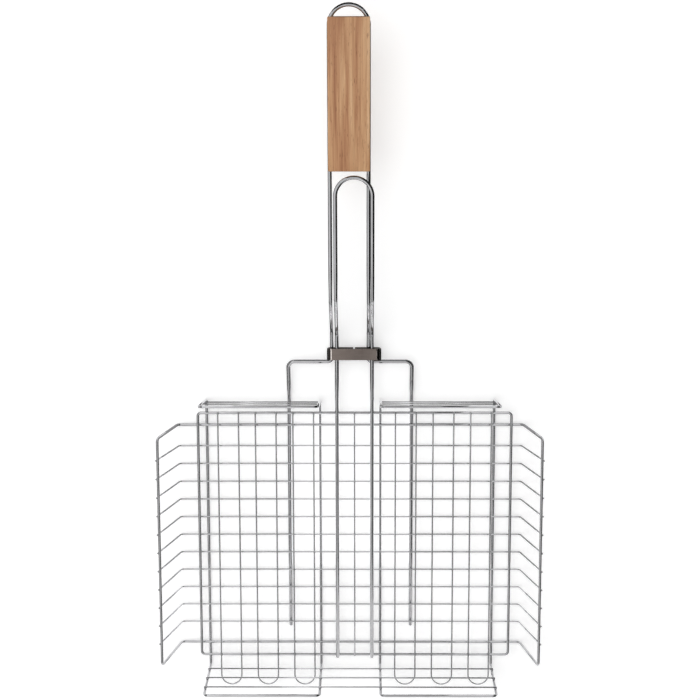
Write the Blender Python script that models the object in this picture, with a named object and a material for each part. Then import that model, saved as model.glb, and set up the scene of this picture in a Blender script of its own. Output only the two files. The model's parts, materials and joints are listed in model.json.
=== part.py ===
"""Grill basket: a welded wire tray with a hinged wire lid, a wooden grip and a sliding lock ring.

Metres, +Z up. The tray lies on the table at z = 0, the grip points along +Y, and the origin is
under the middle of the whole basket. Places inside the functions are counted from the middle of
the tray's floor, and one empty carries everything to the origin.
"""

import math

import bmesh
import bpy
from mathutils import Vector

# Wire thicknesses, and the gap left at every welded or resting contact
HANDLE_WIRE = 0.0036
FRAME_WIRE = 0.0026
GRID_WIRE = 0.0014
WELD_GAP = 0.0003

# Tray: floor, flared side walls and end walls
FLOOR_WIDTH = 0.320
RIM_WIDTH = 0.341
FLOOR_LENGTH = 0.2576
END_FLARE = 0.005
RIM_HEIGHT = 0.0665
SIDE_FRAME_SPAN = 0.210
CROSS_WIRE_COUNT = 11
CROSS_WIRE_PITCH = 0.017
CROSS_WIRE_INSET = 0.0012
CROSS_WIRE_OVERHANG = 0.0005
END_FRAME_OUTER_X = 0.1332
END_FRAME_INNER_X = 0.0279
FRAME_BEND = 0.0038
GRID_BEND = 0.0028

# Rungs of the end walls: the lid's hairpins hook over the lowest far one
FAR_RUNG_COUNT = 3
FAR_RUNG_HEIGHT = 0.016
FAR_RUNG_PITCH = 0.019
NEAR_RUNG_COUNT = 2
NEAR_RUNG_HEIGHT = 0.009
NEAR_RUNG_PITCH = 0.016

# Lid
LID_SHIFT = 0.004
LID_WIDTH = 0.288
LID_LENGTH = 0.2317
LID_SETBACK = 0.0141
LID_CORNER = 0.003
HAIRPIN_WIDTH = 0.019
HAIRPIN_FIRST_X = 0.047
HAIRPIN_PITCH = 0.0345
HAIRPINS_PER_SIDE = 3
HAIRPIN_REACH = 0.0145
LID_WIRE_OVERHANG = 0.0012
LOOP_WIDTH = 0.032
LOOP_OVERHANG = 0.0022
LOOP_END_GAP = 0.0038

# Handle: legs under the floor, shoulders, neck, step up to the grip, hanging loop
LEG_SPACING = 0.113
LEG_LENGTH_UNDER_FLOOR = 0.219
LEG_RISE_START = 0.129
SHOULDER_Y = 0.166
NECK_SPACING = 0.0335
NECK_LENGTH = 0.027
STEP_ANGLE = math.radians(52)
STEP_HEIGHT = 0.0384
LOOP_STEP_HEIGHT = 0.046
GRIP_ANGLE = math.radians(6)
HANDLE_BEND = 0.006
NECK_BEND = 0.0035

# Wooden grip
GRIP_WIDTH = 0.036
GRIP_THICKNESS = 0.015
GRIP_LENGTH = 0.1294
GRIP_START = 0.1176
GRIP_EDGE = 0.0008
GRIP_EDGE_STEPS = 2
HANG_LOOP_RISE = 0.0098
GROOVE_CLEARANCE = 0.0003

# Lock ring
RING_WIDTH = 0.0495
RING_LENGTH = 0.0106
RING_THICKNESS = 0.001
RING_CORNER = 0.0046
RING_SPLIT = 0.0016
RING_SIDE_SHIFT = 0.00375
RING_TOP_GAP = 0.0003
RING_BOTTOM_GAP = 0.0006
RING_CORNER_STEPS = 5

# Sides of a wire's section: a flat faces down, so that the tray stands on flats
ROUND_SIDES = 8
FLAT_TURN = math.pi / ROUND_SIDES
FLAT_SHARE = math.cos(FLAT_TURN)
ARC_STEP = math.radians(23)
LOOP_STEPS = 16

# Heights that follow from the wires stacked on the two handle legs
LEG_Z = HANDLE_WIRE / 2 * FLAT_SHARE
GRID_UNDERSIDE = 2 * LEG_Z + WELD_GAP
CROSS_WIRE_Z = GRID_UNDERSIDE + GRID_WIRE / 2
SIDE_FRAME_Z = GRID_UNDERSIDE + FRAME_WIRE / 2
END_FRAME_Z = GRID_UNDERSIDE - WELD_GAP - FRAME_WIRE / 2
WELD_OFFSET = (FRAME_WIRE + GRID_WIRE) / 2 + WELD_GAP

# Lean of the walls: the cross wires bend up just inside the side frame and pass outside its rims
END_LEAN = math.atan2(END_FLARE, RIM_HEIGHT - END_FRAME_Z)
CROSS_WIRE_X = FLOOR_WIDTH / 2 - CROSS_WIRE_INSET
RIM_RUN = RIM_WIDTH / 2 - CROSS_WIRE_X
RIM_RISE = RIM_HEIGHT - CROSS_WIRE_Z
SIDE_LEAN = math.atan2(RIM_RUN, RIM_RISE) + math.asin(WELD_OFFSET / math.hypot(RIM_RUN, RIM_RISE))

# Heights on the lid, counted from its hinge axis
LID_GRID_Z = GRID_WIRE + WELD_GAP
LID_FRAME_Z = LID_GRID_Z - WELD_OFFSET
LOOP_Z = LID_FRAME_Z + (FRAME_WIRE + HANDLE_WIRE) / 2 + WELD_GAP

# The lid's legs cross above the handle's shoulders, and one of them rests there
NECK_Z = FAR_RUNG_HEIGHT + LOOP_Z - HANDLE_WIRE - WELD_GAP
STEP_START_Y = SHOULDER_Y + NECK_LENGTH
STEP_END_Y = STEP_START_Y + STEP_HEIGHT / math.tan(STEP_ANGLE)

CHROME = (0.62, 0.63, 0.65)
RING_STEEL = (0.42, 0.42, 0.43)
BEECH = (0.60, 0.38, 0.20)


def make_material(name, colour, roughness, metallic):
    material = bpy.data.materials.new(name)
    material.use_nodes = True
    shader = material.node_tree.nodes["Principled BSDF"]
    shader.inputs["Base Color"].default_value = (*colour, 1)
    shader.inputs["Roughness"].default_value = roughness
    shader.inputs["Metallic"].default_value = metallic
    return material


def end_wall_y(z):
    """Distance of an end wall's uprights from the middle of the floor, at height z."""
    return FLOOR_LENGTH / 2 + (z - END_FRAME_Z) * math.tan(END_LEAN)


def rung_y(z):
    """The same for a rung, which is welded to the inner side of the uprights."""
    return end_wall_y(z) - WELD_OFFSET / math.cos(END_LEAN)


def handle_wire_z(y):
    """Height of the handle wire's upper run at distance y."""
    return NECK_Z + STEP_HEIGHT + (y - STEP_END_Y) * math.tan(GRIP_ANGLE)


# The lid's hinge axis is the lowest far rung's own axis
HINGE_Y = -rung_y(FAR_RUNG_HEIGHT)
HINGE_Z = FAR_RUNG_HEIGHT

# Places along the handle, and the middle of the whole basket
GRIP_START_Y = STEP_END_Y + GRIP_START
GRIP_END_Y = GRIP_START_Y + GRIP_LENGTH * math.cos(GRIP_ANGLE)
HANG_LOOP_Y = GRIP_END_Y + HANG_LOOP_RISE * math.cos(GRIP_ANGLE)
FAR_TIP_Y = HINGE_Y - HAIRPIN_REACH - GRID_WIRE / 2
MIDDLE_Y = (HANG_LOOP_Y + HANDLE_WIRE / 2 + FAR_TIP_Y) / 2


def rounded(corners, bends, closed=False):
    """The path through the corners, rounded to one bend radius, or to one for each corner."""
    corners = [Vector(corner) for corner in corners]
    count = len(corners)
    if not isinstance(bends, list):
        bends = [bends] * count
    path = []
    for index, (corner, bend) in enumerate(zip(corners, bends)):
        if not closed and index in (0, count - 1):
            path.append(corner)
            continue
        back = (corners[index - 1] - corner).normalized()
        ahead = (corners[(index + 1) % count] - corner).normalized()
        turn = math.pi - back.angle(ahead)
        reach = bend * math.tan(turn / 2)
        middle = corner + (back + ahead).normalized() * bend / math.cos(turn / 2)
        start = corner + back * reach - middle
        end = corner + ahead * reach - middle
        steps = max(2, round(turn / ARC_STEP))
        for step in range(steps + 1):
            share = step / steps
            weights = math.sin((1 - share) * turn), math.sin(share * turn)
            path.append(middle + (start * weights[0] + end * weights[1]) / math.sin(turn))
    return path


def half_circle(middle, across, along):
    """Points of a half circle from middle - across, over middle + along, to middle + across."""
    points = []
    for step in range(LOOP_STEPS + 1):
        angle = math.pi * step / LOOP_STEPS
        points.append(middle - across * math.cos(angle) + along * math.sin(angle))
    return points


def make_wire(name, path, thickness, material, parent, closed=False):
    """One wire: a round section swept along the path."""
    curve = bpy.data.curves.new(name, "CURVE")
    curve.dimensions = "3D"
    curve.twist_mode = "Z_UP"
    curve.bevel_depth = thickness / 2
    curve.bevel_resolution = (ROUND_SIDES - 4) // 2
    curve.use_fill_caps = True
    spline = curve.splines.new("POLY")
    spline.points.add(len(path) - 1)
    spline.use_cyclic_u = closed
    spline.use_smooth = True
    for point, place in zip(spline.points, path):
        point.co = (*place, 1)
        point.tilt = FLAT_TURN
    curve.materials.append(material)
    wire = bpy.data.objects.new(name, curve)
    wire.parent = parent
    bpy.context.scene.collection.objects.link(wire)
    return wire


def make_empty(name, parent, location):
    empty = bpy.data.objects.new(name, None)
    empty.parent = parent
    empty.location = location
    bpy.context.scene.collection.objects.link(empty)
    return empty


def make_mesh_object(name, shape, material, parent):
    mesh = bpy.data.meshes.new(name)
    bmesh.ops.recalc_face_normals(shape, faces=shape.faces)
    shape.to_mesh(mesh)
    shape.free()
    if material:
        mesh.materials.append(material)
    made = bpy.data.objects.new(name, mesh)
    made.parent = parent
    bpy.context.scene.collection.objects.link(made)
    return made


def hide_cutter(cutter):
    cutter.hide_render = True
    cutter.display_type = "WIRE"


def make_side_frame(metal, tray):
    """One closed wire: both rims, and the two heavy cross wires that join them."""
    span = SIDE_FRAME_SPAN / 2
    floor, rim = FLOOR_WIDTH / 2, RIM_WIDTH / 2
    corners = [
        (-rim, -span, RIM_HEIGHT),
        (-floor, -span, SIDE_FRAME_Z),
        (floor, -span, SIDE_FRAME_Z),
        (rim, -span, RIM_HEIGHT),
        (rim, span, RIM_HEIGHT),
        (floor, span, SIDE_FRAME_Z),
        (-floor, span, SIDE_FRAME_Z),
        (-rim, span, RIM_HEIGHT),
    ]
    make_wire("side_frame", rounded(corners, FRAME_BEND, True), FRAME_WIRE, metal, tray, True)


def make_cross_wires(metal, tray):
    """Thin wires across the floor and up both side walls, welded to the outer side of the rims."""
    top_z = RIM_HEIGHT + CROSS_WIRE_OVERHANG
    top_x = CROSS_WIRE_X + (top_z - CROSS_WIRE_Z) * math.tan(SIDE_LEAN)
    for index in range(CROSS_WIRE_COUNT):
        y = (index - (CROSS_WIRE_COUNT - 1) / 2) * CROSS_WIRE_PITCH
        corners = [
            (-top_x, y, top_z),
            (-CROSS_WIRE_X, y, CROSS_WIRE_Z),
            (CROSS_WIRE_X, y, CROSS_WIRE_Z),
            (top_x, y, top_z),
        ]
        path = rounded(corners, GRID_BEND)
        make_wire(f"cross_wire_{index + 1:02d}", path, GRID_WIRE, metal, tray)


def make_end_frames(metal, tray):
    """Two closed wires, each running along the floor and up both end walls."""
    for side, name in ((-1, "left"), (1, "right")):
        outer, inner = side * END_FRAME_OUTER_X, side * END_FRAME_INNER_X
        floor, rim = FLOOR_LENGTH / 2, end_wall_y(RIM_HEIGHT)
        corners = [
            (outer, -rim, RIM_HEIGHT),
            (outer, -floor, END_FRAME_Z),
            (outer, floor, END_FRAME_Z),
            (outer, rim, RIM_HEIGHT),
            (inner, rim, RIM_HEIGHT),
            (inner, floor, END_FRAME_Z),
            (inner, -floor, END_FRAME_Z),
            (inner, -rim, RIM_HEIGHT),
        ]
        path = rounded(corners, FRAME_BEND, True)
        make_wire(f"end_frame_{name}", path, FRAME_WIRE, metal, tray, True)


def make_rungs(metal, tray):
    reach = END_FRAME_OUTER_X + FRAME_WIRE / 2
    start = END_FRAME_INNER_X - FRAME_WIRE / 2
    for index in range(FAR_RUNG_COUNT):
        z = FAR_RUNG_HEIGHT + index * FAR_RUNG_PITCH
        path = [(-reach, -rung_y(z), z), (reach, -rung_y(z), z)]
        make_wire(f"far_rung_{index + 1}", path, GRID_WIRE, metal, tray)
    for index in range(NEAR_RUNG_COUNT):
        z = NEAR_RUNG_HEIGHT + index * NEAR_RUNG_PITCH
        for side, name in ((-1, "left"), (1, "right")):
            path = [(side * start, rung_y(z), z), (side * reach, rung_y(z), z)]
            make_wire(f"near_rung_{name}_{index + 1}", path, GRID_WIRE, metal, tray)


def handle_half(side):
    """One side of the handle wire, from its end under the floor to the grip's far end."""
    leg_x, neck_x = side * LEG_SPACING / 2, side * NECK_SPACING / 2
    corners = [
        (leg_x, LEG_RISE_START - LEG_LENGTH_UNDER_FLOOR, LEG_Z),
        (leg_x, LEG_RISE_START, LEG_Z),
        (leg_x, SHOULDER_Y, NECK_Z),
        (neck_x, SHOULDER_Y, NECK_Z),
        (neck_x, STEP_START_Y, NECK_Z),
        (neck_x, STEP_END_Y, NECK_Z + STEP_HEIGHT),
        (neck_x, GRIP_START_Y, handle_wire_z(GRIP_START_Y)),
    ]
    bends = [HANDLE_BEND] * len(corners)
    bends[corners.index((neck_x, SHOULDER_Y, NECK_Z))] = NECK_BEND
    return rounded(corners, bends)


def handle_path():
    """Up the left side, round the hanging loop, and down the right side."""
    radius = NECK_SPACING / 2
    along = Vector((0, math.cos(GRIP_ANGLE), math.sin(GRIP_ANGLE)))
    top = Vector((0, HANG_LOOP_Y, handle_wire_z(HANG_LOOP_Y)))
    loop = half_circle(top - along * radius, Vector((radius, 0, 0)), along * radius)
    return handle_half(-1) + loop + handle_half(1)[::-1]


def make_grip(wood, tray):
    """A wooden slab with a groove along each edge, which the handle wire lies in."""
    groove = HANDLE_WIRE + 2 * GROOVE_CLEARANCE
    centre_y = (GRIP_START_Y + GRIP_END_Y) / 2
    place = (0, centre_y, handle_wire_z(centre_y))
    slab = bmesh.new()
    bmesh.ops.create_cube(slab, size=1)
    bmesh.ops.scale(slab, vec=(GRIP_WIDTH, GRIP_LENGTH, GRIP_THICKNESS), verts=slab.verts)
    grip = make_mesh_object("grip", slab, wood, tray)
    grip.location = place
    grip.rotation_euler.x = GRIP_ANGLE
    edge = grip.modifiers.new("eased_edges", "BEVEL")
    edge.width = GRIP_EDGE
    edge.segments = GRIP_EDGE_STEPS

    radius = NECK_SPACING / 2
    slots = bmesh.new()
    for side in (-1, 1):
        made = bmesh.ops.create_cube(slots, size=1)["verts"]
        bmesh.ops.scale(slots, vec=(GRIP_WIDTH / 2, 2 * GRIP_LENGTH, groove), verts=made)
        shift = (side * (radius + GRIP_WIDTH / 4), 0, 0)
        bmesh.ops.translate(slots, vec=shift, verts=made)
    slot_cutter = make_mesh_object("grip_slot_cutter", slots, None, tray)
    slot_cutter.location = place
    slot_cutter.rotation_euler.x = GRIP_ANGLE
    hide_cutter(slot_cutter)

    guide = make_wire("grip_groove_guide", handle_path(), groove, wood, tray)
    mesh = bpy.data.meshes.new_from_object(guide)
    bpy.data.objects.remove(guide)
    groove_cutter = bpy.data.objects.new("grip_groove_cutter", mesh)
    groove_cutter.parent = tray
    bpy.context.scene.collection.objects.link(groove_cutter)
    hide_cutter(groove_cutter)
    for cutter in (slot_cutter, groove_cutter):
        cut = grip.modifiers.new(cutter.name, "BOOLEAN")
        cut.operation = "DIFFERENCE"
        cut.object = cutter


def ring_outline(half_width, low, high, corner):
    """A rounded rectangle in X and Z, from beside the split at the bottom round to its other side."""
    path = [Vector((RING_SPLIT / 2, low))]
    corners = (
        (half_width - corner, low + corner, -90),
        (half_width - corner, high - corner, 0),
        (corner - half_width, high - corner, 90),
        (corner - half_width, low + corner, 180),
    )
    for x, z, start in corners:
        for step in range(RING_CORNER_STEPS + 1):
            angle = math.radians(start + 90 * step / RING_CORNER_STEPS)
            path.append(Vector((x + corner * math.cos(angle), z + corner * math.sin(angle))))
    path.append(Vector((-RING_SPLIT / 2, low)))
    return path


def make_lock_ring(metal, tray):
    """A flat steel strip bent round the lid's legs and the handle's neck, its ends nearly meeting below."""
    low = NECK_Z - HANDLE_WIRE / 2 - RING_BOTTOM_GAP
    high = HINGE_Z + LOOP_Z + HANDLE_WIRE / 2 + RING_TOP_GAP
    centre_z = (low + high) / 2
    half_height = (high - low) / 2
    start_y = SHOULDER_Y + HANDLE_WIRE / 2 + WELD_GAP
    wall = RING_THICKNESS
    inner_corner = RING_CORNER - wall
    inside = ring_outline(RING_WIDTH / 2 - wall, -half_height, half_height, inner_corner)
    outside = ring_outline(RING_WIDTH / 2, -half_height - wall, half_height + wall, RING_CORNER)
    strip = bmesh.new()
    rows = []
    for y in (-RING_LENGTH / 2, RING_LENGTH / 2):
        rows.append([[strip.verts.new((p.x, y, p.y)) for p in side] for side in (inside, outside)])
    (front_in, front_out), (back_in, back_out) = rows
    loops = ((front_in, front_out), (front_out, back_out), (back_out, back_in), (back_in, front_in))
    for first, second in loops:
        for index in range(len(first) - 1):
            strip.faces.new((first[index], first[index + 1], second[index + 1], second[index]))
    for index in (0, -1):
        strip.faces.new((front_in[index], front_out[index], back_out[index], back_in[index]))
    ring = make_mesh_object("lock_ring", strip, metal, tray)
    ring.location = (RING_SIDE_SHIFT, start_y + RING_LENGTH / 2, centre_z)


def make_lid_frame(metal, lid):
    half = LID_WIDTH / 2
    near = LID_SETBACK + LID_LENGTH
    corners = [
        (-half, LID_SETBACK, LID_FRAME_Z),
        (half, LID_SETBACK, LID_FRAME_Z),
        (half, near, LID_FRAME_Z),
        (-half, near, LID_FRAME_Z),
    ]
    make_wire("lid_frame", rounded(corners, LID_CORNER, True), FRAME_WIRE, metal, lid, True)


def make_lid_grid(metal, lid):
    """Hairpin wires, whose round ends reach out through the far wall, and one wire in the middle."""
    near = LID_SETBACK + LID_LENGTH + LID_WIRE_OVERHANG
    radius = HAIRPIN_WIDTH / 2
    for side, name in ((-1, "left"), (1, "right")):
        for index in range(HAIRPINS_PER_SIDE):
            x = side * (HAIRPIN_FIRST_X + index * HAIRPIN_PITCH)
            middle = Vector((x, radius - HAIRPIN_REACH, LID_GRID_Z))
            bend = half_circle(middle, Vector((radius, 0, 0)), Vector((0, -radius, 0)))
            start, end = (x - radius, near, LID_GRID_Z), (x + radius, near, LID_GRID_Z)
            path = [start, *bend, end]
            make_wire(f"lid_hairpin_{name}_{index + 1}", path, GRID_WIRE, metal, lid)
    far = LID_SETBACK - LID_WIRE_OVERHANG
    path = [(0, far, LID_GRID_Z), (0, near, LID_GRID_Z)]
    make_wire("lid_middle_wire", path, GRID_WIRE, metal, lid)


def make_lid_loop(metal, lid):
    """The lid's own handle: one wire across both bars, up the step, and round in front of the grip."""
    radius = LOOP_WIDTH / 2
    start = LID_SETBACK - LOOP_OVERHANG
    bend_shift = (HANDLE_WIRE + WELD_GAP) * math.tan(STEP_ANGLE / 2)
    step_start = STEP_START_Y - HINGE_Y - bend_shift
    step_end = step_start + LOOP_STEP_HEIGHT / math.tan(STEP_ANGLE)
    top_z = LOOP_Z + LOOP_STEP_HEIGHT
    end_y = GRIP_START_Y - HINGE_Y - LOOP_END_GAP - HANDLE_WIRE / 2
    along = Vector((0, math.cos(GRIP_ANGLE), math.sin(GRIP_ANGLE)))
    end = Vector((0, end_y, top_z + (end_y - step_end) * math.tan(GRIP_ANGLE)))
    middle = end - along * radius

    def leg(side):
        x = side * radius
        corners = [
            (x, start, LOOP_Z),
            (x, step_start, LOOP_Z),
            (x, step_end, top_z),
            (x, middle.y - radius, middle.z - radius * math.tan(GRIP_ANGLE)),
        ]
        return rounded(corners, HANDLE_BEND)

    bend = half_circle(middle, Vector((radius, 0, 0)), along * radius)
    make_wire("lid_loop", leg(-1) + bend + leg(1)[::-1], HANDLE_WIRE, metal, lid)


def main():
    for old in list(bpy.data.objects):
        bpy.data.objects.remove(old)
    chrome = make_material("chrome_wire", CHROME, 0.16, 1)
    ring_steel = make_material("ring_steel", RING_STEEL, 0.28, 1)
    beech = make_material("beech", BEECH, 0.55, 0)
    tray = make_empty("tray_middle", None, (0, -MIDDLE_Y, 0))
    lid = make_empty("lid_hinge_axis", tray, (LID_SHIFT, HINGE_Y, HINGE_Z))
    make_side_frame(chrome, tray)
    make_cross_wires(chrome, tray)
    make_end_frames(chrome, tray)
    make_rungs(chrome, tray)
    make_wire("handle_wire", handle_path(), HANDLE_WIRE, chrome, tray)
    make_grip(beech, tray)
    make_lock_ring(ring_steel, tray)
    make_lid_frame(chrome, lid)
    make_lid_grid(chrome, lid)
    make_lid_loop(chrome, lid)


main()
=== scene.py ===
"""Looks of the grill basket: plated wires with weld beads, an oiled wooden grip and a satin lock ring.

Metres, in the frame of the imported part: the basket rests on z = 0 and the grip points along +Y.
Tray pieces are drawn from the middle of the tray's floor, lid pieces from the lid's hinge axis.
The near end is the one by the handle.
"""

import json
import math

import bmesh
import bpy
from mathutils import Matrix, Vector


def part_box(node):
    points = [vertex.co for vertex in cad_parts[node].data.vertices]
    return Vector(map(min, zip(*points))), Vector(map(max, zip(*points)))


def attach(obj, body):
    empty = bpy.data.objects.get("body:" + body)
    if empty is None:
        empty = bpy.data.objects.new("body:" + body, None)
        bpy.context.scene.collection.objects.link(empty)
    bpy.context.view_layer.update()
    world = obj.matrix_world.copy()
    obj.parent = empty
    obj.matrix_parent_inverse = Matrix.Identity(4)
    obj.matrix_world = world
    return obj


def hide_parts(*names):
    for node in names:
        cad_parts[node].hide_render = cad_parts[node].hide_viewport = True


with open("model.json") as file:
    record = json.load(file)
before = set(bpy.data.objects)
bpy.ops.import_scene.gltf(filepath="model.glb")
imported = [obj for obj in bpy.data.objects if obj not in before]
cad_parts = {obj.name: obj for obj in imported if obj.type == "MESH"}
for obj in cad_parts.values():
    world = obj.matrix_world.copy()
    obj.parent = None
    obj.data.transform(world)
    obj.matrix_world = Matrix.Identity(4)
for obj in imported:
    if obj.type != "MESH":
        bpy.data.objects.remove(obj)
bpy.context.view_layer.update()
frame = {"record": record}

# Wire thicknesses, the frame's gap at a weld, and how much nearer to a rim a cross wire lies here
HANDLE_WIRE = 0.0036
FRAME_WIRE = 0.0026
GRID_WIRE = 0.0014
WELD_GAP = 0.0003
WELD_SINK = 0.0006

# The frame's wires have eight flats, which lie at this share of the wire's radius
FLAT_SHARE = math.cos(math.pi / 8)

# Tray
FLOOR_WIDTH = 0.320
RIM_WIDTH = 0.341
FLOOR_LENGTH = 0.2576
END_FLARE = 0.005
RIM_HEIGHT = 0.0665
SIDE_FRAME_SPAN = 0.210
CROSS_WIRE_COUNT = 11
CROSS_WIRE_INSET = 0.0012
CROSS_WIRE_OVERHANG = 0.0005
END_FRAME_OUTER_X = 0.1332
END_FRAME_INNER_X = 0.0279
FRAME_BEND = 0.0038
GRID_BEND = 0.0028
FAR_RUNG_COUNT = 3
NEAR_RUNG_COUNT = 2

# Lid, counted from its hinge axis
LID_SETBACK = 0.0141
LID_CORNER = 0.003
HAIRPINS_PER_SIDE = 3
LOOP_WIDTH = 0.032
LOOP_OVERHANG = 0.0022
LOOP_END_GAP = 0.0038

# Handle and grip
LEG_SPACING = 0.113
LEG_LENGTH_UNDER_FLOOR = 0.219
LEG_RISE_START = 0.129
SHOULDER_Y = 0.166
NECK_SPACING = 0.0335
NECK_LENGTH = 0.027
STEP_ANGLE = math.radians(52)
STEP_HEIGHT = 0.0384
LOOP_STEP_HEIGHT = 0.046
GRIP_ANGLE = math.radians(6)
HANDLE_BEND = 0.006
NECK_BEND = 0.0035
GRIP_WIDTH = 0.036
GRIP_THICKNESS = 0.015
GRIP_LENGTH = 0.1294
GRIP_START = 0.1176
GRIP_EDGE = 0.0011
GROOVE_LIP = 0.0004
GROOVE_CLEARANCE = 0.0002
HANG_LOOP_RISE = 0.0098

# Lock ring: its shape, the share of its thickness beyond which a face is an inner one, and where across
# it the front gets a painted highlight band and then painted shade towards its bends
RING_THICKNESS = 0.001
RING_CORNER = 0.0046
RING_SPLIT = 0.0016
RING_EDGE = 0.00032
RING_INNER_SHARE = 0.9
RING_PAINTED_HIGHLIGHT_START = 0.0203
RING_PAINTED_HIGHLIGHT_WIDTH = 0.0004
RING_PAINTED_SHADE_START = 0.0212
RING_PAINTED_SHADE_WIDTH = 0.0006

# Weld beads: how far they stand out beside each wire, and how tall they are
BEAD_BESIDE_UPPER = 0.00042
BEAD_BESIDE_LOWER = 0.0002
BEAD_HEIGHT = 0.0004
BEAD_HEIGHT_SHARE = 0.22

# Cut ends of wires: the rounding as a share of the radius, the share of the width that stays at the
# tip, and the angles in degrees of the points between
END_ROUNDING = 0.45
END_FACE_SHARE = 0.5914
END_ANGLES = (45, 70, 90)

# Fineness of bends, sections and beads, and the angles above which an edge is shaded sharp
ARC_STEP = math.radians(5)
LOOP_STEPS = 48
SECTION_STEPS = 6
CORNER_STEPS = 6
RING_EDGE_STEPS = 3
GRIP_LOOP_STEPS = 14
BEAD_RINGS = 8
BEAD_SEGMENTS = 12
GRIP_SHARP_ANGLE = math.radians(35)
RING_SHARP_ANGLE = math.radians(40)

# Camera
PHOTO_SIZE = 700
FOCAL_PIXELS = 1455
SENSOR_WIDTH = 36
CAMERA_PLACE = (0.01157, 0.21158, 1.32594)
CAMERA_TURN = (-0.15446, 0.00855, -0.00184)

# Floor and world: both are white to the rays named here, for which the floor glows, more so far away
FLOOR_SIZE = 14
FLOOR_DROP = 0.0002
FLOOR_LIFT = 0.26
FAR_FLOOR_LIFT = 0.62
LIFT_START = 0.7
LIFT_END = 2.2
WORLD_FILL = 0.42
SEEN = ("Is Camera Ray", "Is Glossy Ray", "Is Transmission Ray")

# Cards above and round the object
STUDIO_RADIUS = 1.25
STUDIO_END = 1.7
TOP_CARD_END = 0.42
NEAR_CARD_WIDTH = 2
NEAR_CARD_LENGTH = 1.4

# Cards beside the handle, and on the floor below the tray, the neck and the handle
HANDLE_CARD_X = 0.11
HANDLE_CARD_START = 0.02
HANDLE_CARD_END = 0.36
HANDLE_CARD_HEIGHT = 0.5
LOW_CARD_X = 0.108
LOW_CARD_HEIGHT = 0.07
LOW_CARD_START = 0.06
END_FLAG_Y = 0.40
END_FLAG_WIDTH = 0.26
TRAY_CARD_START = -0.2
TRAY_CARD_END = -0.045
TRAY_CARD_INNER_X = 0.055
TRAY_CARD_OUTER_X = 0.455
NECK_CARD_START = -0.034
NECK_CARD_END = 0.007
NECK_CARD_LEFT = -0.15
NECK_CARD_RIGHT = 0.17

X_AXIS = Vector((1, 0, 0))
Y_AXIS = Vector((0, 1, 0))
Z_AXIS = Vector((0, 0, 1))
WHITE = (1.0, 1.0, 1.0)

# Heights of the stacked wires, as in the frame
LEG_Z = HANDLE_WIRE / 2 * FLAT_SHARE
GRID_UNDERSIDE = 2 * LEG_Z + WELD_GAP
CROSS_WIRE_Z = GRID_UNDERSIDE + GRID_WIRE / 2
SIDE_FRAME_Z = GRID_UNDERSIDE + FRAME_WIRE / 2
END_FRAME_Z = GRID_UNDERSIDE - WELD_GAP - FRAME_WIRE / 2
WELD_OFFSET = (FRAME_WIRE + GRID_WIRE) / 2 + WELD_GAP
LID_GRID_Z = GRID_WIRE + WELD_GAP
LID_FRAME_Z = LID_GRID_Z - WELD_OFFSET
LOOP_Z = LID_FRAME_Z + (FRAME_WIRE + HANDLE_WIRE) / 2 + WELD_GAP

# The two places that pieces are drawn from
SIDE_FRAME_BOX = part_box("side_frame")
TRAY = Vector((0, (SIDE_FRAME_BOX[0].y + SIDE_FRAME_BOX[1].y) / 2, 0))
JOINTS = {joint["name"]: joint for joint in frame["record"]["behaviour"]["joints"]}
HINGE = Vector(JOINTS["lid_hinge"]["pos_m"])
HINGE_Y = HINGE.y - TRAY.y

# Lean of the walls
END_LEAN = math.atan2(END_FLARE, RIM_HEIGHT - END_FRAME_Z)
CROSS_WIRE_X = FLOOR_WIDTH / 2 - CROSS_WIRE_INSET
RIM_RUN = RIM_WIDTH / 2 - CROSS_WIRE_X
RIM_RISE = RIM_HEIGHT - CROSS_WIRE_Z
RIM_OFFSET = WELD_OFFSET - WELD_SINK
SIDE_LEAN = math.atan2(RIM_RUN, RIM_RISE) + math.asin(RIM_OFFSET / math.hypot(RIM_RUN, RIM_RISE))

# Places across the tray of the end frames' wires and the handle's legs
LEFT_FRAME_X = (-END_FRAME_OUTER_X, -END_FRAME_INNER_X)
RIGHT_FRAME_X = (END_FRAME_OUTER_X, END_FRAME_INNER_X)
LEG_X = (-LEG_SPACING / 2, LEG_SPACING / 2)

# Places along the handle
LEG_END_Y = LEG_RISE_START - LEG_LENGTH_UNDER_FLOOR
NECK_Z = HINGE.z + LOOP_Z - HANDLE_WIRE - WELD_GAP
STEP_START_Y = SHOULDER_Y + NECK_LENGTH
STEP_END_Y = STEP_START_Y + STEP_HEIGHT / math.tan(STEP_ANGLE)
GRIP_START_Y = STEP_END_Y + GRIP_START
GRIP_END_Y = GRIP_START_Y + GRIP_LENGTH * math.cos(GRIP_ANGLE)
HANG_LOOP_Y = GRIP_END_Y + HANG_LOOP_RISE * math.cos(GRIP_ANGLE)


# Names of the repeated nodes


def numbered(stem, count, digits=1):
    """Names with one stem, counted from one."""
    return [f"{stem}_{number:0{digits}d}" for number in range(1, count + 1)]


CROSS_WIRES = numbered("cross_wire", CROSS_WIRE_COUNT, digits=2)
FAR_RUNGS = numbered("far_rung", FAR_RUNG_COUNT)
NEAR_RUNGS_LEFT = numbered("near_rung_left", NEAR_RUNG_COUNT)
NEAR_RUNGS_RIGHT = numbered("near_rung_right", NEAR_RUNG_COUNT)
HAIRPINS = numbered("lid_hairpin_left", HAIRPINS_PER_SIDE)
HAIRPINS += numbered("lid_hairpin_right", HAIRPINS_PER_SIDE)


# Places of single wires


def end_wall_y(z):
    """Distance of an end wall's uprights from the middle of the tray, at a height."""
    return FLOOR_LENGTH / 2 + (z - END_FRAME_Z) * math.tan(END_LEAN)


def handle_wire_z(y):
    """Height of the handle's wire where it runs along the grip."""
    return NECK_Z + STEP_HEIGHT + (y - STEP_END_Y) * math.tan(GRIP_ANGLE)


def cross_wire_y(node):
    """Distance of a cross wire from the middle of the tray."""
    low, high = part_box(node)
    return (low.y + high.y) / 2 - TRAY.y


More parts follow.
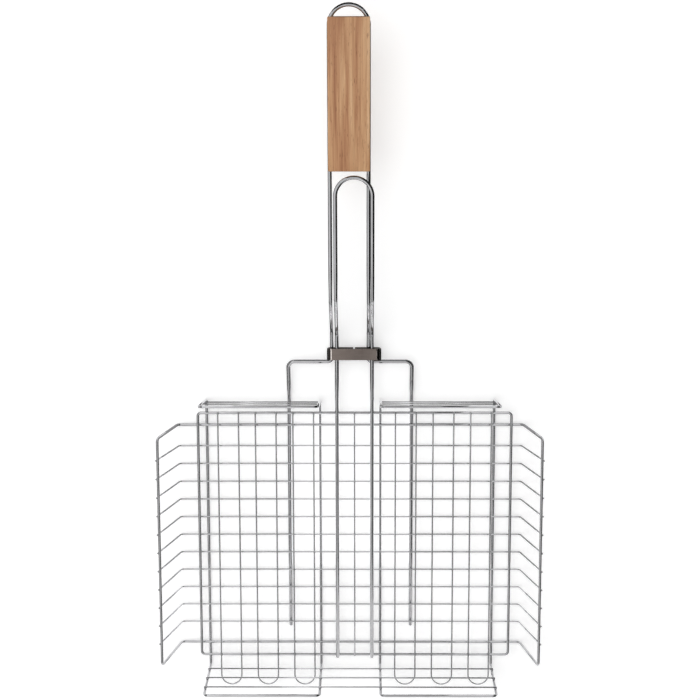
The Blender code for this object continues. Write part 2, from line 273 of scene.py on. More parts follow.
def lid_frame_sides():
    """Places of the lid frame's left, right, far and near wires from the hinge axis."""
    low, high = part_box("lid_frame")
    inset = (high.z - low.z) / 2
    left, right = low.x + inset - HINGE.x, high.x - inset - HINGE.x
    far, near = low.y + inset - HINGE.y, high.y - inset - HINGE.y
    return left, right, far, near


def hairpin_legs(node):
    """Places across the lid of a hairpin's two legs."""
    low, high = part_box(node)
    inset = GRID_WIRE / 2 * FLAT_SHARE
    return low.x + inset - HINGE.x, high.x - inset - HINGE.x


# Materials


class Nodes:
    """A node tree, with short calls for the nodes used here."""

    def __init__(self, tree):
        self.tree = tree

    def feed(self, socket, source):
        """Links an output to a socket, or sets the socket to a plain value."""
        if isinstance(source, bpy.types.NodeSocket):
            self.tree.links.new(source, socket)
        else:
            socket.default_value = source

    def add(self, kind, inputs=None, **settings):
        """A new node with its settings and inputs."""
        node = self.tree.nodes.new(kind)
        for key, value in settings.items():
            setattr(node, key, value)
        for socket, source in (inputs or {}).items():
            self.feed(node.inputs[socket], source)
        return node

    def place(self, kind="Object"):
        """The object's own coordinates, or its normal."""
        return self.add("ShaderNodeTexCoord").outputs[kind]

    def math(self, operation, first, second=0.0):
        return self.add("ShaderNodeMath", {0: first, 1: second}, operation=operation).outputs["Value"]

    def size_along(self, axis, vector):
        """The size, without sign, of a vector's part along one axis."""
        parts = self.add("ShaderNodeSeparateXYZ", {"Vector": vector})
        return self.math("ABSOLUTE", parts.outputs[axis])

    def noise(self, scale, detail=3.0, roughness=0.5, distortion=0.0):
        """Noise with about this many spots in a metre along each axis of the object."""
        stretch = self.add("ShaderNodeMapping", {"Vector": self.place(), "Scale": scale})
        inputs = {
            "Vector": stretch.outputs["Vector"],
            "Scale": 1,
            "Detail": detail,
            "Roughness": roughness,
            "Distortion": distortion,
        }
        return self.add("ShaderNodeTexNoise", inputs).outputs["Fac"]

    def spread(self, source, low, high, start=0.3, end=0.7):
        """Maps start..end of the source, by default a noise's usual range, to low..high."""
        inputs = {"Value": source, "From Min": start, "From Max": end, "To Min": low, "To Max": high}
        return self.add("ShaderNodeMapRange", inputs).outputs["Result"]

    def ramp(self, source, stops):
        """Colours blended from stop to stop of the source."""
        node = self.add("ShaderNodeValToRGB", {"Fac": source})
        steps = node.color_ramp.elements
        while len(steps) < len(stops):
            steps.new(0.5)
        for step, (place, colour) in zip(steps, stops):
            step.position = place
            step.color = (*colour, 1)
        return node.outputs["Color"]

    def tones(self, source, low, high, start=0.3, end=0.7):
        """Two colours, blended over start..end of the source."""
        return self.ramp(source, [(start, low), (end, high)])

    def mix(self, first, second, factor, blend="MIX"):
        """Two colours mixed: they are a mix node's inputs 6 and 7, and the result is its output 2."""
        inputs = {0: factor, 6: first, 7: second}
        return self.add("ShaderNodeMix", inputs, data_type="RGBA", blend_type=blend).outputs[2]

    def darken(self, colour, source, tone, start=0.3, end=0.7, strength=1.0):
        """The colour, multiplied by a tone where the source is low."""
        return self.mix(colour, self.tones(source, tone, WHITE, start, end), strength, "MULTIPLY")

    def seen(self):
        """One for the rays that show the background, and zero for the rest."""
        path = self.add("ShaderNodeLightPath")
        seen = path.outputs[SEEN[0]]
        for kind in SEEN[1:]:
            seen = self.math("MAXIMUM", seen, path.outputs[kind])
        return seen


class Shader(Nodes):
    """A material with one surface shader."""

    def __init__(self, name, **constants):
        self.material = bpy.data.materials.new(name)
        self.material.use_nodes = True
        super().__init__(self.material.node_tree)
        self.surface = self.tree.nodes["Principled BSDF"]
        for socket, value in constants.items():
            self.set(socket.replace("_", " "), value)

    def set(self, socket, source):
        self.feed(self.surface.inputs[socket], source)

    def bump(self, height, depth, strength):
        inputs = {"Height": height, "Distance": depth, "Strength": strength}
        self.set("Normal", self.add("ShaderNodeBump", inputs).outputs["Normal"])


def chrome_material():
    """Bright plating over drawn wire: slightly uneven tone and gloss, and a faint waviness."""
    shader = Shader("plated_wire", Metallic=1.0)
    cloud = shader.noise((70, 70, 70), detail=4)
    gloss = shader.noise((160, 160, 160), detail=5)
    waves = shader.noise((500, 500, 500), detail=2)
    shader.set("Base Color", shader.tones(cloud, (0.53, 0.53, 0.54), (0.62, 0.62, 0.635)))
    shader.set("Roughness", shader.spread(gloss, 0.04, 0.11))
    shader.bump(waves, depth=0.00001, strength=0.12)
    return shader.material


def weld_material():
    """Plating over a weld bead: the same metal, rougher and a little darker."""
    shader = Shader("plated_weld", Metallic=1.0)
    grain = shader.noise((1500, 1500, 1500), detail=3)
    shader.set("Base Color", shader.tones(grain, (0.45, 0.45, 0.46), (0.62, 0.62, 0.64)))
    shader.set("Roughness", shader.spread(grain, 0.18, 0.34))
    shader.bump(grain, depth=0.00008, strength=0.6)
    return shader.material


def ring_material():
    """Satin steel strip: brushed along the strip, warm grey, with a painted highlight band and then
    painted shade at its bends.
    """
    shader = Shader("satin_steel", Metallic=1.0)
    # Painted highlight: a bright base colour in a thin band across the ring, where the front turns into
    # its bends
    painted_highlight = (0.88, 0.80, 0.76, 1)
    # Painted shade: a near-black base colour on the ring's bends, standing in for their dark reflection
    bent = (0.05, 0.046, 0.044, 1)
    brush = shader.noise((40, 2600, 40), detail=4, roughness=0.65)
    cloud = shader.noise((90, 90, 90), detail=3)
    tone = shader.tones(cloud, (0.225, 0.185, 0.165), (0.275, 0.232, 0.210))
    tone = shader.darken(tone, brush, (0.80, 0.80, 0.80))
    across = shader.size_along("X", shader.place())
    # Mask of the painted highlight band, rising where the front meets a bend
    painted_highlight_mask = shader.spread(across, 0.0, 1.0, RING_PAINTED_HIGHLIGHT_START, RING_PAINTED_HIGHLIGHT_START + RING_PAINTED_HIGHLIGHT_WIDTH)
    # Mask of the painted shade on the bends, just beyond the highlight band
    bend = shader.spread(across, 0.0, 0.95, RING_PAINTED_SHADE_START, RING_PAINTED_SHADE_START + RING_PAINTED_SHADE_WIDTH)
    tone = shader.mix(tone, painted_highlight, painted_highlight_mask)
    shader.set("Base Color", shader.mix(tone, bent, bend))
    shader.set("Roughness", shader.spread(brush, 0.12, 0.20))
    shader.bump(brush, depth=0.00001, strength=0.2)
    return shader.material


def ring_inside_shade_material():
    """The strip's inner side: painted shade, a near-black base colour standing in for the shadow inside
    the ring, with a rougher finish.
    """
    shader = Shader("ring_inside_painted_shade", Metallic=1.0)
    cloud = shader.noise((300, 300, 300), detail=4)
    # Painted shade: near-black base colour for the shadow inside the ring
    shader.set("Base Color", shader.tones(cloud, (0.045, 0.042, 0.040), (0.085, 0.08, 0.075)))
    shader.set("Roughness", shader.spread(cloud, 0.35, 0.55))
    shader.bump(cloud, depth=0.00003, strength=0.3)
    return shader.material


def wood_material():
    """Oiled hardwood: broad warm streaks, darker lines, fine fibres, short pores and dark end grain."""
    shader = Shader("oiled_wood", Metallic=0.0)
    streaks = shader.noise((95, 4, 95), detail=5, roughness=0.6, distortion=0.4)
    lines = shader.noise((420, 7, 420), detail=4, roughness=0.6, distortion=0.8)
    fibres = shader.noise((2200, 40, 2200), detail=3, roughness=0.6)
    pores = shader.noise((1500, 130, 1500), detail=2, roughness=0.5)
    colour = shader.ramp(streaks, [
        (0.35, (0.33, 0.135, 0.055)),
        (0.44, (0.465, 0.225, 0.102)),
        (0.53, (0.590, 0.335, 0.165)),
        (0.64, (0.745, 0.490, 0.285)),
    ])
    colour = shader.darken(colour, lines, (0.76, 0.68, 0.61), start=0.36, end=0.54, strength=0.8)
    colour = shader.darken(colour, fibres, (0.86, 0.83, 0.80), start=0.34, end=0.60, strength=0.8)
    colour = shader.darken(colour, pores, (0.42, 0.33, 0.27), start=0.30, end=0.36, strength=0.7)
    facing_ends = shader.size_along("Y", shader.place("Normal"))
    end_grain = shader.spread(facing_ends, 0.0, 0.55, start=0.6, end=0.95)
    shader.set("Base Color", shader.mix(colour, (0.36, 0.22, 0.125, 1), end_grain))
    shader.set("Roughness", shader.spread(fibres, 0.60, 0.44))
    pore_height = shader.spread(pores, 0.0, 0.8, start=0.28, end=0.36)
    height = shader.math("ADD", shader.math("MULTIPLY", fibres, 0.5), pore_height)
    shader.bump(height, depth=0.00012, strength=0.55)
    return shader.material


CHROME = chrome_material()
WELD = weld_material()
RING_STEEL = ring_material()
RING_INSIDE_SHADE = ring_inside_shade_material()
WOOD = wood_material()


# Paths and sections


def rounded(corners, bends, closed=False):
    """The path through the corners, rounded to one bend radius, or to one for each corner."""
    corners = [Vector(corner) for corner in corners]
    count = len(corners)
    if not isinstance(bends, list):
        bends = [bends] * count
    path = []
    for index, (corner, bend) in enumerate(zip(corners, bends)):
        if not closed and index in (0, count - 1):
            path.append(corner)
            continue
        back = (corners[index - 1] - corner).normalized()
        ahead = (corners[(index + 1) % count] - corner).normalized()
        turn = math.pi - back.angle(ahead)
        reach = bend * math.tan(turn / 2)
        middle = corner + (back + ahead).normalized() * bend / math.cos(turn / 2)
        start = corner + back * reach - middle
        end = corner + ahead * reach - middle
        steps = max(2, round(turn / ARC_STEP))
        for step in range(steps + 1):
            share = step / steps
            weights = math.sin((1 - share) * turn), math.sin(share * turn)
            path.append(middle + (start * weights[0] + end * weights[1]) / math.sin(turn))
    return path


def half_circle(middle, across, along):
    """Points of a half circle from middle - across, over middle + along, to middle + across."""
    points = []
    for step in range(LOOP_STEPS + 1):
        angle = math.pi * step / LOOP_STEPS
        points.append(middle - across * math.cos(angle) + along * math.sin(angle))
    return points


def rounded_end(tip, inner, radius):
    """Pairs of point and share of thickness at a cut end, from its tip inwards."""
    inward = (inner - tip).normalized()
    pairs = [(tip, END_FACE_SHARE)]
    for angle in END_ANGLES:
        reach = math.sin(math.radians(angle))
        pairs.append((tip + inward * (END_ROUNDING * radius * reach), 1 - END_ROUNDING * (1 - reach)))
    return pairs


def eased_ends(path, radius):
    """The path as pairs of point and share of thickness, with both cut ends slightly rounded."""
    points = [Vector(point) for point in path]
    start = rounded_end(points[0], points[1], radius)
    end = rounded_end(points[-1], points[-2], radius)
    return start + [(point, 1.0) for point in points[1:-1]] + end[::-1]


def arc(middle_x, middle_z, radius, start, end, steps=CORNER_STEPS):
    """Points of an arc in a section, from one angle to another in degrees."""
    points = []
    for step in range(steps + 1):
        angle = math.radians(start + (end - start) * step / steps)
        points.append((middle_x + radius * math.cos(angle), middle_z + radius * math.sin(angle)))
    return points


def rounded_box(half_width, half_height, corner, steps):
    """Points round a section with rounded corners, anticlockwise from the lower right one."""
    x, z = half_width - corner, half_height - corner
    points = arc(x, -z, corner, -90, 0, steps)
    points += arc(x, z, corner, 0, 90, steps)
    points += arc(-x, z, corner, 90, 180, steps)
    points += arc(-x, -z, corner, 180, 270, steps)
    return points


# Pieces


def dress(piece, body, slot, materials, *nodes):
    """Puts a piece in the scene on its body, in place of the nodes that it stands for."""
    for material in materials:
        piece.data.materials.append(material)
    bpy.context.scene.collection.objects.link(piece)
    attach(piece, body)
    if nodes:
        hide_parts(*nodes)


def loft(shape, rows):
    """Closes a solid between rows of vertices, and gives its side faces row by row."""
    sides = []
    for row, following in zip(rows, rows[1:]):
        for index in range(len(row)):
            ahead = (index + 1) % len(row)
            sides.append(shape.faces.new((row[index], row[ahead], following[ahead], following[index])))
    shape.faces.new(rows[0])
    shape.faces.new(rows[-1])
    bmesh.ops.recalc_face_normals(shape, faces=shape.faces)
    return sides


def smooth_piece(name, shape, place, sharp_angle=None):
    """An object of a finished shape, shaded smooth, or smooth up to an angle between faces."""
    mesh = bpy.data.meshes.new(name)
    shape.to_mesh(mesh)
    shape.free()
    mesh.shade_smooth()
    if sharp_angle is not None:
        mesh.set_sharp_from_angle(angle=sharp_angle)
    piece = bpy.data.objects.new(name, mesh)
    piece.location = place
    return piece


def make_wire(node, path, thickness, body, origin, closed=False):
    """A round wire along the path, in place of the frame's faceted one."""
    curve = bpy.data.curves.new(f"{node}_round", "CURVE")
    curve.dimensions = "3D"
    curve.twist_mode = "MINIMUM"
    curve.bevel_depth = thickness / 2
    curve.bevel_resolution = SECTION_STEPS
    curve.use_fill_caps = True
    stations = [(point, 1.0) for point in path] if closed else eased_ends(path, thickness / 2)
    spline = curve.splines.new("POLY")
    spline.points.add(len(stations) - 1)
    spline.use_cyclic_u = closed
    spline.use_smooth = True
    for point, (place, share) in zip(spline.points, stations):
        point.co = (*place, 1)
        point.radius = share
    wire = bpy.data.objects.new(f"{node}_round", curve)
    wire.location = origin
    dress(wire, body, "chrome_wire", [CHROME], node)


def straight_wire(node, thickness, body):
    """A straight wire along the longest side of its node's box."""
    low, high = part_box(node)
    middle = (low + high) / 2
    axis = max(range(3), key=lambda side: high[side] - low[side])
    start, end = middle.copy(), middle.copy()
    start[axis], end[axis] = low[axis], high[axis]
    make_wire(node, [start, end], thickness, body, Vector((0, 0, 0)))


def make_side_frame():
    span = SIDE_FRAME_SPAN / 2
    floor, rim = FLOOR_WIDTH / 2, RIM_WIDTH / 2
    corners = [
        (-rim, -span, RIM_HEIGHT),
        (-floor, -span, SIDE_FRAME_Z),
        (floor, -span, SIDE_FRAME_Z),
        (rim, -span, RIM_HEIGHT),
        (rim, span, RIM_HEIGHT),
        (floor, span, SIDE_FRAME_Z),
        (-floor, span, SIDE_FRAME_Z),
        (-rim, span, RIM_HEIGHT),
    ]
    make_wire("side_frame", rounded(corners, FRAME_BEND, True), FRAME_WIRE, "tray", TRAY, True)


def make_cross_wires():
    top_z = RIM_HEIGHT + CROSS_WIRE_OVERHANG
    top_x = CROSS_WIRE_X + (top_z - CROSS_WIRE_Z) * math.tan(SIDE_LEAN)
    for node in CROSS_WIRES:
        y = cross_wire_y(node)
        corners = [
            (-top_x, y, top_z),
            (-CROSS_WIRE_X, y, CROSS_WIRE_Z),
            (CROSS_WIRE_X, y, CROSS_WIRE_Z),
            (top_x, y, top_z),
        ]
        make_wire(node, rounded(corners, GRID_BEND), GRID_WIRE, "tray", TRAY)


def make_end_frames():
    floor, rim = FLOOR_LENGTH / 2, end_wall_y(RIM_HEIGHT)
    for node, (outer, inner) in (("end_frame_left", LEFT_FRAME_X), ("end_frame_right", RIGHT_FRAME_X)):
        corners = [
            (outer, -rim, RIM_HEIGHT),
            (outer, -floor, END_FRAME_Z),
            (outer, floor, END_FRAME_Z),
            (outer, rim, RIM_HEIGHT),
            (inner, rim, RIM_HEIGHT),
            (inner, floor, END_FRAME_Z),
            (inner, -floor, END_FRAME_Z),
            (inner, -rim, RIM_HEIGHT),
        ]
        make_wire(node, rounded(corners, FRAME_BEND, True), FRAME_WIRE, "tray", TRAY, True)


def make_rungs():
    for node in FAR_RUNGS:
        straight_wire(node, GRID_WIRE, "tray")
    for left, right in zip(NEAR_RUNGS_LEFT, NEAR_RUNGS_RIGHT):
        straight_wire(left, GRID_WIRE, "tray")
        straight_wire(right, GRID_WIRE, "tray")


def handle_half(leg_x, neck_x):
    """One side of the handle wire, from its end under the floor to the start of the grip."""
    shoulder = (neck_x, SHOULDER_Y, NECK_Z)
    corners = [
        (leg_x, LEG_END_Y, LEG_Z),
        (leg_x, LEG_RISE_START, LEG_Z),
        (leg_x, SHOULDER_Y, NECK_Z),
        shoulder,
        (neck_x, STEP_START_Y, NECK_Z),
        (neck_x, STEP_END_Y, NECK_Z + STEP_HEIGHT),
        (neck_x, GRIP_START_Y, handle_wire_z(GRIP_START_Y)),
    ]
    bends = [NECK_BEND if corner == shoulder else HANDLE_BEND for corner in corners]
    return rounded(corners, bends)


def make_handle_wire():
    radius = NECK_SPACING / 2
    along = Vector((0, math.cos(GRIP_ANGLE), math.sin(GRIP_ANGLE)))
    top = Vector((0, HANG_LOOP_Y, handle_wire_z(HANG_LOOP_Y)))
    loop = half_circle(top - along * radius, X_AXIS * radius, along * radius)
    left, right = handle_half(LEG_X[0], -radius), handle_half(LEG_X[1], radius)
    make_wire("handle_wire", left + loop + right[::-1], HANDLE_WIRE, "tray", TRAY)


def grip_section(inset, groove_x):
    """Half of the grip's section, from the top's middle to the bottom's, drawn in by the inset."""
    half_width, half_height = GRIP_WIDTH / 2 - inset, GRIP_THICKNESS / 2 - inset
    groove = HANDLE_WIRE / 2 + GROOVE_CLEARANCE + inset / 2
    edge, lip = GRIP_EDGE, GROOVE_LIP
    points = [(0, half_height)]
    points += arc(half_width - edge, half_height - edge, edge, 90, 0)
    points += arc(half_width - lip, groove + lip, lip, 0, -90)
    points += arc(groove_x, 0, groove, 90, 270)
    points += arc(half_width - lip, -groove - lip, lip, 90, 0)
    points += arc(half_width - edge, edge - half_height, edge, 0, -90)
    points += [(0, -half_height)]
    return points


def grip_stations():
    """Pairs of distance along the grip and inset there: eased ends, and fine steps by the loop."""
    half = GRIP_LENGTH / 2
    easing = []
    for step in range(CORNER_STEPS + 1):
        turn = math.pi / 2 * step / CORNER_STEPS
        easing.append((GRIP_EDGE * (1 - math.cos(turn)), GRIP_EDGE * (1 - math.sin(turn))))
    stations = [(distance - half, inset) for distance, inset in easing]
    loop_start = half - (NECK_SPACING / 2 - HANG_LOOP_RISE)
    loop_length = half - GRIP_EDGE - loop_start
    for step in range(GRIP_LOOP_STEPS):
        stations.append((loop_start + loop_length * step / GRIP_LOOP_STEPS, 0))
    stations += [(half - distance, inset) for distance, inset in reversed(easing)]
    return stations


def make_grip():
    """A wooden slab lofted along its length, with a round-bottomed groove down each edge."""
    radius = NECK_SPACING / 2
    loop_middle = GRIP_LENGTH / 2 + HANG_LOOP_RISE - radius
    slab = bmesh.new()
    rows = []
    for y, inset in grip_stations():
        past = max(0, y - loop_middle)
        half = grip_section(inset, math.sqrt(radius ** 2 - past ** 2))
        outline = half + [(-x, z) for x, z in half[-2:0:-1]]
        rows.append([slab.verts.new((x, y, z)) for x, z in outline])
    loft(slab, rows)
    middle_y = (GRIP_START_Y + GRIP_END_Y) / 2
    place = TRAY + Vector((0, middle_y, handle_wire_z(middle_y)))
    grip = smooth_piece("grip_wood", slab, place, GRIP_SHARP_ANGLE)
    grip.rotation_euler.x = GRIP_ANGLE
    dress(grip, "tray", "beech", [WOOD], "grip")


def make_lock_ring():
    """A steel strip with eased edges, bent to a flat loop whose ends nearly meet below."""
    low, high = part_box("lock_ring")
    half_width = (high.x - low.x) / 2 - RING_THICKNESS / 2
    half_height = (high.z - low.z) / 2 - RING_THICKNESS / 2
    line = [(RING_SPLIT / 2, -half_height)]
    line += rounded_box(half_width, half_height, RING_CORNER - RING_THICKNESS / 2, CORNER_STEPS)
    line += [(-RING_SPLIT / 2, -half_height)]
    section = rounded_box(RING_THICKNESS / 2, (high.y - low.y) / 2, RING_EDGE, RING_EDGE_STEPS)
    strip = bmesh.new()
    rows = []
    for index, (x, z) in enumerate(line):
        before, after = line[max(0, index - 1)], line[min(len(line) - 1, index + 1)]
        run = Vector((after[0] - before[0], 0, after[1] - before[1])).normalized()
        outward = Vector((run.z, 0, -run.x))
        row = [Vector((x, along, z)) + outward * out for out, along in section]
        rows.append([strip.verts.new(point) for point in row])
    for index, side in enumerate(loft(strip, rows)):
        out = section[index % len(section)][0]
        out_ahead = section[(index + 1) % len(section)][0]
        # Inner faces take the material painted dark for the shade inside the ring
        inner = (out + out_ahead) / 2 < -RING_THICKNESS / 2 * RING_INNER_SHARE
        side.material_index = 1 if inner else 0
    ring = smooth_piece("lock_ring_strip", strip, (low + high) / 2, RING_SHARP_ANGLE)
    dress(ring, "ring", "ring_steel", [RING_STEEL, RING_INSIDE_SHADE], "lock_ring")


def make_lid_frame():
    left, right, far, near = lid_frame_sides()
    corners = [
        (left, far, LID_FRAME_Z),
        (right, far, LID_FRAME_Z),
        (right, near, LID_FRAME_Z),
        (left, near, LID_FRAME_Z),
    ]
    make_wire("lid_frame", rounded(corners, LID_CORNER, True), FRAME_WIRE, "lid", HINGE, True)


def make_lid_wires():
    """The lid's hairpins, whose round ends hook through the far wall, and its one straight wire."""
    for node in HAIRPINS:
        low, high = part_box(node)
        left, right = hairpin_legs(node)
        radius = (right - left) / 2
        tip = low.y + GRID_WIRE / 2 - HINGE.y
        end = high.y - HINGE.y
        middle = Vector(((left + right) / 2, tip + radius, LID_GRID_Z))
        bend = half_circle(middle, X_AXIS * radius, Y_AXIS * -radius)
        path = [(left, end, LID_GRID_Z), *bend, (right, end, LID_GRID_Z)]
        make_wire(node, path, GRID_WIRE, "lid", HINGE)
    straight_wire("lid_middle_wire", GRID_WIRE, "lid")


def make_lid_loop():
    """The lid's own handle: one wire across both bars, up the step, and round in front of the grip."""
    radius = LOOP_WIDTH / 2
    start = LID_SETBACK - LOOP_OVERHANG
    bend_shift = (HANDLE_WIRE + WELD_GAP) * math.tan(STEP_ANGLE / 2)
    step_start = STEP_START_Y - HINGE_Y - bend_shift
    step_end = step_start + LOOP_STEP_HEIGHT / math.tan(STEP_ANGLE)
    top_z = LOOP_Z + LOOP_STEP_HEIGHT
    end_y = GRIP_START_Y - HINGE_Y - LOOP_END_GAP - HANDLE_WIRE / 2
    along = Vector((0, math.cos(GRIP_ANGLE), math.sin(GRIP_ANGLE)))
    end = Vector((0, end_y, top_z + (end_y - step_end) * math.tan(GRIP_ANGLE)))
    middle = end - along * radius

    def leg(x):
        corners = [
            (x, start, LOOP_Z),
            (x, step_start, LOOP_Z),
            (x, step_end, top_z),
            (x, middle.y - radius, middle.z - radius * math.tan(GRIP_ANGLE)),
        ]
        return rounded(corners, HANDLE_BEND)

    bend = half_circle(middle, X_AXIS * radius, along * radius)
    make_wire("lid_loop", leg(-radius) + bend + leg(radius)[::-1], HANDLE_WIRE, "lid", HINGE)


# Weld beads


def add_bead(shape, place, lower_run, upper_run, normal, lower_wire, upper_wire):
    """A squeezed bead where two wires cross: it fills the gap and bulges a little beside each wire."""
    half_sizes = (
        upper_wire / 2 + BEAD_BESIDE_UPPER,
        lower_wire / 2 + BEAD_BESIDE_LOWER,
        upper_wire * BEAD_HEIGHT_SHARE + BEAD_HEIGHT,
    )
    turn = Matrix((lower_run, upper_run, normal)).transposed().to_4x4()
    stretch = Matrix.Diagonal((*half_sizes, 1))
    ball = bmesh.ops.create_uvsphere(shape, u_segments=BEAD_SEGMENTS, v_segments=BEAD_RINGS, radius=1)
    matrix = Matrix.Translation(place) @ turn @ stretch
    bmesh.ops.transform(shape, matrix=matrix, verts=ball["verts"])


def add_floor_beads(beads):
    """Beads where the floor's wires lie on the end frames and on the handle's legs."""
    z = GRID_UNDERSIDE - WELD_GAP / 2
    end_frames = LEFT_FRAME_X + RIGHT_FRAME_X
    for y in map(cross_wire_y, CROSS_WIRES):
        for x in end_frames:
            add_bead(beads, Vector((x, y, z)), Y_AXIS, X_AXIS, Z_AXIS, FRAME_WIRE, GRID_WIRE)
        for x in LEG_X:
            add_bead(beads, Vector((x, y, z)), Y_AXIS, X_AXIS, Z_AXIS, HANDLE_WIRE, GRID_WIRE)
    for y in (-SIDE_FRAME_SPAN / 2, SIDE_FRAME_SPAN / 2):
        legs = LEG_X if y > LEG_END_Y else ()
        for x in end_frames + legs:
            add_bead(beads, Vector((x, y, z)), Y_AXIS, X_AXIS, Z_AXIS, FRAME_WIRE, FRAME_WIRE)


def add_rim_beads(beads):
    """Beads where the cross wires' ends lie against the side rims."""
    for side in (-1, 1):
        out = Vector((side * math.cos(SIDE_LEAN), 0, -math.sin(SIDE_LEAN)))
        along = Vector((side * math.sin(SIDE_LEAN), 0, math.cos(SIDE_LEAN)))
        for y in map(cross_wire_y, CROSS_WIRES):
            place = Vector((side * RIM_WIDTH / 2, y, RIM_HEIGHT)) + out * (FRAME_WIRE - WELD_SINK) / 2
            add_bead(beads, place, Y_AXIS, along, out, FRAME_WIRE, GRID_WIRE)


def add_rung_beads(beads, nodes, side, uprights):
    """Beads where rungs lie against the uprights of an end wall: side is -1 for far and 1 for near."""
    inward = Vector((0, -side * math.cos(END_LEAN), math.sin(END_LEAN)))
    upward = Vector((0, side * math.sin(END_LEAN), math.cos(END_LEAN)))
    for node in nodes:
        low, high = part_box(node)
        z = (low.z + high.z) / 2
        for x in uprights:
            place = Vector((x, side * end_wall_y(z), z)) + inward * (FRAME_WIRE + WELD_GAP) / 2
            add_bead(beads, place, upward, X_AXIS, inward, FRAME_WIRE, GRID_WIRE)


def make_tray_welds():
    beads = bmesh.new()
    add_floor_beads(beads)
    add_rim_beads(beads)
    add_rung_beads(beads, FAR_RUNGS, -1, LEFT_FRAME_X + RIGHT_FRAME_X)
    add_rung_beads(beads, NEAR_RUNGS_LEFT, 1, LEFT_FRAME_X)
    add_rung_beads(beads, NEAR_RUNGS_RIGHT, 1, RIGHT_FRAME_X)
    dress(smooth_piece("tray_weld_beads", beads, TRAY), "tray", "chrome_wire", [WELD])


def make_lid_welds():
    """Beads where the hairpins, the middle wire and the lid's handle cross the lid's two bars."""
    beads = bmesh.new()
    z = LID_FRAME_Z + (FRAME_WIRE + WELD_GAP) / 2
    thin_wires = [x for node in HAIRPINS for x in hairpin_legs(node)] + [0]
    far, near = lid_frame_sides()[2:]
    for y in (far, near):
        for x in thin_wires:
            add_bead(beads, Vector((x, y, z)), X_AXIS, Y_AXIS, Z_AXIS, FRAME_WIRE, GRID_WIRE)
        for x in (-LOOP_WIDTH / 2, LOOP_WIDTH / 2):
            add_bead(beads, Vector((x, y, z)), X_AXIS, Y_AXIS, Z_AXIS, FRAME_WIRE, HANDLE_WIRE)
    dress(smooth_piece("lid_weld_beads", beads, HINGE), "lid", "chrome_wire", [WELD])


# Studio


def add_plane(name, size, place, turn, material):
    mesh = bpy.data.meshes.new(name)
    shape = bmesh.new()
    bmesh.ops.create_grid(shape, x_segments=1, y_segments=1, size=0.5)
    bmesh.ops.scale(shape, vec=(*size, 1), verts=shape.verts)
    shape.to_mesh(mesh)
    shape.free()
    mesh.materials.append(material)
    plane = bpy.data.objects.new(name, mesh)
    plane.location = place
    plane.rotation_euler = turn
    bpy.context.scene.collection.objects.link(plane)
    return plane


def glow_material(name, level):
    """Light of one level all over, where 1 is white."""
    material = bpy.data.materials.new(name)
    material.use_nodes = True
    nodes = Nodes(material.node_tree)
    nodes.tree.nodes.remove(nodes.tree.nodes["Principled BSDF"])
    glow = nodes.add("ShaderNodeEmission", {"Color": (level, level, level, 1)})
    nodes.feed(nodes.tree.nodes["Material Output"].inputs["Surface"], glow.outputs["Emission"])
    return material


def add_card(name, size, place, turn, level):
    """A card that only reflections see: such cards give the plating its light and dark bands."""
    card = add_plane(name, size, place, turn, glow_material(name, level))
    card.visible_camera = False
    card.visible_diffuse = False
    card.visible_shadow = False


def add_band(name, start, end, level, near_y=STUDIO_END):
    """A long card along the object, between two angles from straight up towards +X, in degrees."""
    start, end = math.radians(start), math.radians(end)
    turn = (start + end) / 2
    width = 2 * STUDIO_RADIUS * math.tan((end - start) / 2)
    length = near_y + STUDIO_END
    place = STUDIO_RADIUS * math.sin(turn), near_y - length / 2, STUDIO_RADIUS * math.cos(turn)
    add_card(name, (width, length), place, (0, turn, 0), level)


def add_end_card(name, y, width, height, level):
    """An upright card across the object."""
    add_card(name, (width, height), (0, y, height / 2), (math.pi / 2, 0, 0), level)


def add_side_card(name, x, height, level):
    """An upright card beside the handle."""
    length = HANDLE_CARD_END - HANDLE_CARD_START
    place = x, (HANDLE_CARD_START + HANDLE_CARD_END) / 2, height / 2
    add_card(name, (height, length), place, (0, math.pi / 2, 0), level)


def add_floor_card(name, left, right, start, end, level):
    """A card on the floor, from left to right and from its start to its end along Y."""
    place = (left + right) / 2, (start + end) / 2, -FLOOR_DROP / 2
    add_card(name, (right - left, end - start), place, (0, 0, 0), level)


def add_lamp(name, place, size, power):
    """A square lamp that shines at the origin and isn't seen itself."""
    light = bpy.data.lights.new(name, "AREA")
    light.shape = "SQUARE"
    light.size = size
    light.energy = power
    lamp = bpy.data.objects.new(name, light)
    lamp.location = place
    lamp.rotation_euler = (-Vector(place)).to_track_quat("-Z", "Y").to_euler()
    lamp.visible_camera = False
    lamp.visible_glossy = False
    bpy.context.scene.collection.objects.link(lamp)


def make_world():
    """White to the camera and in reflections, and a soft fill for diffuse light."""
    world = bpy.data.worlds.new("studio")
    world.use_nodes = True
    nodes = Nodes(world.node_tree)
    background = nodes.tree.nodes["Background"]
    nodes.feed(background.inputs["Color"], (*WHITE, 1))
    nodes.feed(background.inputs["Strength"], nodes.spread(nodes.seen(), WORLD_FILL, 1.0, 0.0, 1.0))
    bpy.context.scene.world = world


def make_floor():
    """A pale floor that keeps the shadow, lifted to white for the camera and in reflections."""
    shader = Shader("pale_floor", Metallic=0.0, Roughness=0.9, Specular_IOR_Level=0.1)
    mottle = shader.noise((3, 3, 3), detail=3)
    shader.set("Base Color", shader.tones(mottle, (0.925, 0.925, 0.925), (0.945, 0.945, 0.945)))
    shader.set("Emission Color", (*WHITE, 1))
    distance = shader.add("ShaderNodeVectorMath", {0: shader.place()}, operation="LENGTH")
    lift = shader.spread(distance.outputs["Value"], FLOOR_LIFT, FAR_FLOOR_LIFT, LIFT_START, LIFT_END)
    shader.set("Emission Strength", shader.math("MULTIPLY", shader.seen(), lift))
    add_plane("floor", (FLOOR_SIZE, FLOOR_SIZE), (0, 0, -FLOOR_DROP), (0, 0, 0), shader.material)


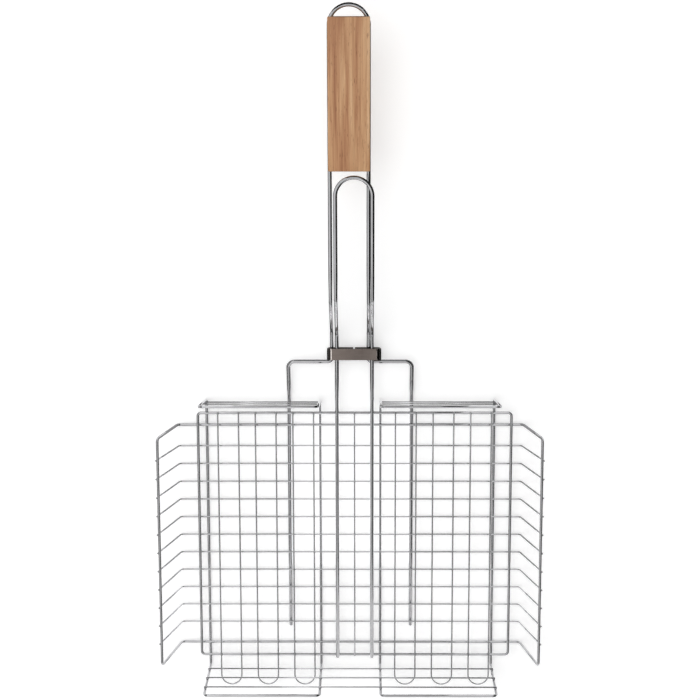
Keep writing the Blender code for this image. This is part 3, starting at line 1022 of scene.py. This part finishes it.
def add_cards_above():
    """A half tunnel of long cards over the object, from its left to its right, closed at both ends."""
    add_band("card_left", -88, -26, level=0.25)
    add_band("card_left_bright", -26, -16, level=1.4)
    add_band("card_top", -16, -2, level=0.85, near_y=TOP_CARD_END)
    add_band("card_top_middle", -2, 6, level=0.6, near_y=TOP_CARD_END)
    add_band("card_top_right", 6, 16, level=0.75, near_y=TOP_CARD_END)
    add_band("card_right", 16, 88, level=0.01)
    near_size = NEAR_CARD_WIDTH, NEAR_CARD_LENGTH
    near_place = 0, TOP_CARD_END + NEAR_CARD_LENGTH / 2, STUDIO_RADIUS
    add_card("card_top_near", near_size, near_place, (0, 0, 0), level=1.0)
    add_end_card("card_far", -STUDIO_END, 2 * STUDIO_RADIUS, STUDIO_RADIUS, level=0.9)
    add_end_card("card_near", STUDIO_END, 2 * STUDIO_RADIUS, STUDIO_RADIUS, level=1.1)


def add_cards_by_handle():
    """Upright cards round the handle: bright on its left, dark on its right, at its end and low down."""
    add_side_card("flag_left", -HANDLE_CARD_X, HANDLE_CARD_HEIGHT, level=0.8)
    add_side_card("flag_right", HANDLE_CARD_X, HANDLE_CARD_HEIGHT, level=0.01)
    add_side_card("flag_left_low", -LOW_CARD_X, LOW_CARD_HEIGHT, level=0.1)
    add_end_card("flag_near", END_FLAG_Y, END_FLAG_WIDTH, HANDLE_CARD_HEIGHT, level=0.02)


def add_cards_below():
    """Floor cards: grey under the tray's sides, bright under its middle, dark under neck and handle."""
    inner, outer = TRAY_CARD_INNER_X, TRAY_CARD_OUTER_X
    tray = TRAY_CARD_START, TRAY_CARD_END
    add_floor_card("flag_under_left", -outer, -inner, *tray, level=0.45)
    add_floor_card("flag_under_right", inner, outer, *tray, level=0.45)
    add_floor_card("card_under_tray", -inner, inner, *tray, level=1.7)
    neck = NECK_CARD_LEFT, NECK_CARD_RIGHT, NECK_CARD_START, NECK_CARD_END
    add_floor_card("flag_under_neck", *neck, level=0.0)
    handle = -LOW_CARD_X, LOW_CARD_X, LOW_CARD_START, HANDLE_CARD_END
    add_floor_card("flag_under_handle", *handle, level=0.12)


def make_studio():
    make_world()
    make_floor()
    add_lamp("overhead", place=(-0.35, 0.25, 2.1), size=1.8, power=24)
    add_lamp("left_fill", place=(-1.6, -0.3, 1.0), size=1.2, power=5)
    add_cards_above()
    add_cards_by_handle()
    add_cards_below()


def make_camera():
    lens = bpy.data.cameras.new("camera")
    lens.sensor_width = SENSOR_WIDTH
    lens.lens = FOCAL_PIXELS / PHOTO_SIZE * SENSOR_WIDTH
    camera = bpy.data.objects.new("camera", lens)
    camera.location = CAMERA_PLACE
    camera.rotation_euler = CAMERA_TURN
    bpy.context.scene.collection.objects.link(camera)
    bpy.context.scene.camera = camera


bpy.context.scene.view_settings.view_transform = "Standard"
make_camera()
make_side_frame()
make_cross_wires()
make_end_frames()
make_rungs()
make_handle_wire()
make_grip()
make_lock_ring()
make_lid_frame()
make_lid_wires()
make_lid_loop()
make_tray_welds()
make_lid_welds()
make_studio()
